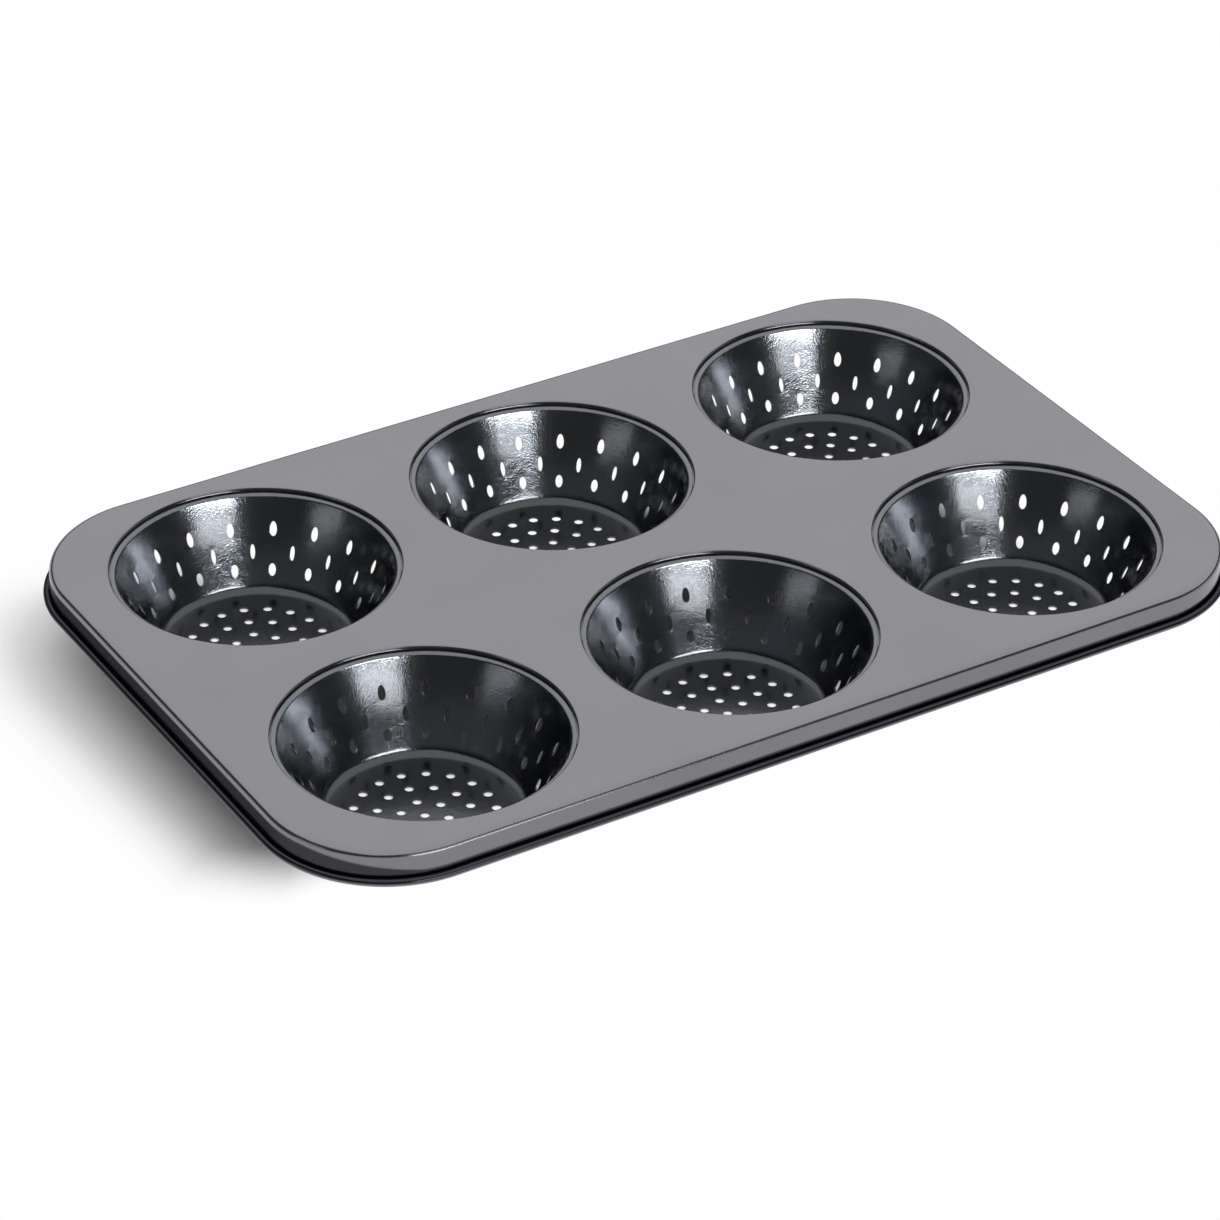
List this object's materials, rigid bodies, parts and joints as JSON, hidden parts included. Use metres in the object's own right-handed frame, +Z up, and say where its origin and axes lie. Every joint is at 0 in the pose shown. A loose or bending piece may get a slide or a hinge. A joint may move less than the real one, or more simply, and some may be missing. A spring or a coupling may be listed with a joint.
{
  "type": "perforated muffin pan",
  "caption": "Muffin pan with round tapered cups, perforated in wall and base, set flush in a rounded flat deck with a wired, rolled rim.",
  "frame": {"origin": "centre of the pan in plan, on the plane that the undersides of the cups stand on", "axes": "+X along the long side, to the right in the picture; +Y across the pan, to its back row; +Z up, out of the cups' mouths"},
  "size_m": [0.31, 0.2, 0.0284],
  "materials": {
    "satin_grey_coating": "satin dark grey non-stick coating on steel sheet",
    "dark_gloss_coating": "glossy near-black non-stick coating on steel sheet, with a fine orange peel",
    "steel_wire": "plain drawn wire, hidden in the rolled rim"
  },
  "bodies": {
    "root": {"deck": "satin_grey_coating", "rim_wire": "steel_wire", "cup_back_left": "dark_gloss_coating", "cup_back_middle": "dark_gloss_coating", "cup_back_right": "dark_gloss_coating", "cup_front_left": "dark_gloss_coating", "cup_front_middle": "dark_gloss_coating", "cup_front_right": "dark_gloss_coating"}
  },
  "joints": []
}
